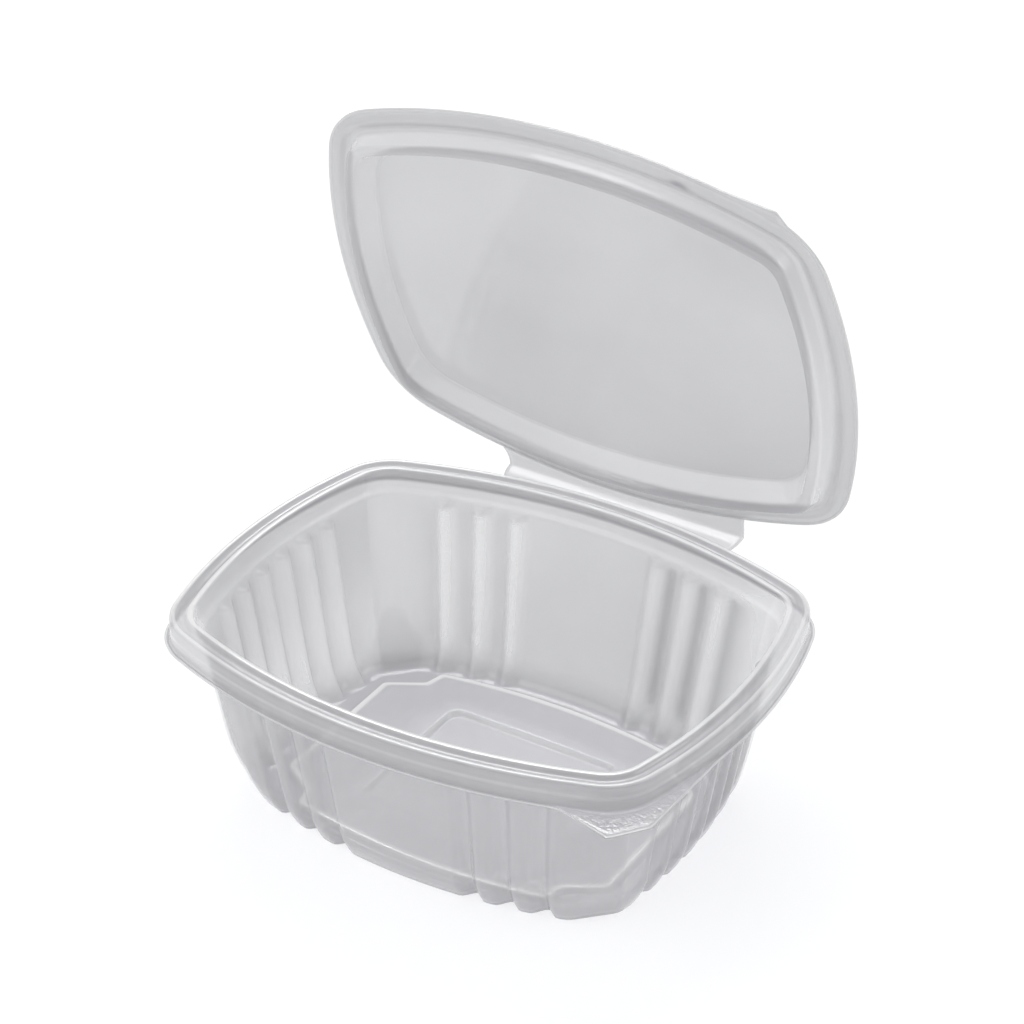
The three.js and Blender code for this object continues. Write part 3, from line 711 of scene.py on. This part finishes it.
# A strip across the crease in two halves, both worked out shut. Share runs along the hinge, and v from the
# half's root to the crease. The roots follow the bow of their sheets, and the strip's ends curve in or out.
def makeFilm():
    share = np.linspace(0, 1, film["steps"] + 1)[None, :]
    v = np.linspace(0, 1, film["halfSteps"] + 1)[:, None]
    long = crest["longBow"] + film["root"]
    longY = crest["halfY"] - crest["longBow"]
    ends = zip(film["left"], film["right"])
    atTub, atCrease, atLid = [left + (right - left) * share for left, right in ends]
    halves = []
    for atRoot, rise in ((atTub, film["tubDrop"]), (atLid, film["lidRise"])):
        x = atCrease + (atRoot - atCrease) * (1 - v) ** 2
        y = longY + np.sqrt(long ** 2 - x ** 2)
        y = y + (crease[0] - film["gap"] - y) * v
        z = crest["height"] + rise * (1 - v ** 3) + film["gap"] * v + 0 * share
        halves.append((x, y, z))
    (tubX, tubY, tubZ), (lidX, lidY, lidZ) = halves
    lidY, lidZ = swungUp(lidY, lidZ)
    x = np.concatenate([tubX, lidX[::-1]])
    y = np.concatenate([tubY, lidY[::-1]])
    z = np.concatenate([tubZ, lidZ[::-1]])
    rows, count = x.shape
    verts = np.stack([x, y, z], -1).reshape(-1, 3)
    row = np.arange(rows - 1)[:, None] * count
    col = np.arange(count - 1)[None, :]
    quads = np.stack([row + col, row + col + 1, row + count + col + 1, row + count + col], -1)
    piece = meshPiece("hingeFilm", verts, quads.reshape(-1, 4).tolist())
    return thicken(piece, film["thickness"])


hingeFilm = makeFilm()
dress(hingeFilm, sheetMaterial)
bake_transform(hingeFilm)
print("hinge film made")

# the pale floor, in metres, set a little below the foot
stage = dict(floor=(0.96, 0.962, 0.965, 1), roughness=0.9, gloss=0.1, size=8.0, drop=0.0002)


def makeStage():
    half = stage["size"] / 2
    mesh = bpy.data.meshes.new("floor")
    corners = [(sx * half, sy * half, -stage["drop"]) for sx, sy in ((-1, -1), (1, -1), (1, 1), (-1, 1))]
    mesh.from_pydata(corners, [], [(0, 1, 2, 3)])
    floor = bpy.data.objects.new("floor", mesh)
    bpy.context.scene.collection.objects.link(floor)
    material = bpy.data.materials.new("paleFloor")
    material.use_nodes = True
    shader = material.node_tree.nodes["Principled BSDF"]
    shader.inputs["Base Color"].default_value = stage["floor"]
    shader.inputs["Roughness"].default_value = stage["roughness"]
    shader.inputs["Specular IOR Level"].default_value = stage["gloss"]
    dress(floor, material)


# Soft suns light the floor evenly and mirror in the sheet as round softboxes: direction towards the light,
# strength, and its width as seen from the object, in degrees.
suns = [
    dict(name="softbox", towards=(-0.30, 0.45, 0.84), strength=2.0, width=36.0),
    dict(name="fill", towards=(-0.5, -0.6, 0.6), strength=0.5, width=60.0),
    dict(name="rimLight", towards=(0.8, 0.35, 0.5), strength=0.4, width=30.0),
]
studio = dict(world=0.40, highlightMix=(0.98, 0.985, 1.0, 1))


def makeLights():
    for spec in suns:
        data = bpy.data.lights.new(spec["name"], "SUN")
        data.energy = spec["strength"]
        data.angle = math.radians(spec["width"])
        lamp = bpy.data.objects.new(spec["name"], data)
        lamp.rotation_euler = (-Vector(spec["towards"])).to_track_quat("-Z", "Y").to_euler()
        bpy.context.scene.collection.objects.link(lamp)
    world = bpy.data.worlds.new("studio")
    world.use_nodes = True
    world.node_tree.nodes["Background"].inputs["Color"].default_value = studio["highlightMix"]
    world.node_tree.nodes["Background"].inputs["Strength"].default_value = studio["world"]
    bpy.context.scene.world = world


view = dict(azimuth=31.86, elevation=31.61, distance=0.7086, target=(-0.0159, 0.03495, 0.0519), lens=105.47)


def makeCamera():
    data = bpy.data.cameras.new("camera")
    data.sensor_width = 36.0
    data.lens = view["lens"]
    az, el = math.radians(view["azimuth"]), math.radians(view["elevation"])
    back = Vector((math.sin(az) * math.cos(el), -math.cos(az) * math.cos(el), math.sin(el)))
    camera = bpy.data.objects.new("camera", data)
    camera.location = Vector(view["target"]) + back * view["distance"]
    camera.rotation_euler = (-back).to_track_quat("-Z", "Y").to_euler()
    bpy.context.scene.collection.objects.link(camera)
    bpy.context.scene.camera = camera


makeStage()
makeLights()
makeCamera()
bpy.context.scene.view_settings.view_transform = "Standard"
cycles = bpy.context.scene.cycles
cycles.max_bounces, cycles.diffuse_bounces, cycles.glossy_bounces = 5, 2, 2
cycles.transmission_bounces, cycles.transparent_max_bounces = 2, 20
print("stage, lights and camera made")
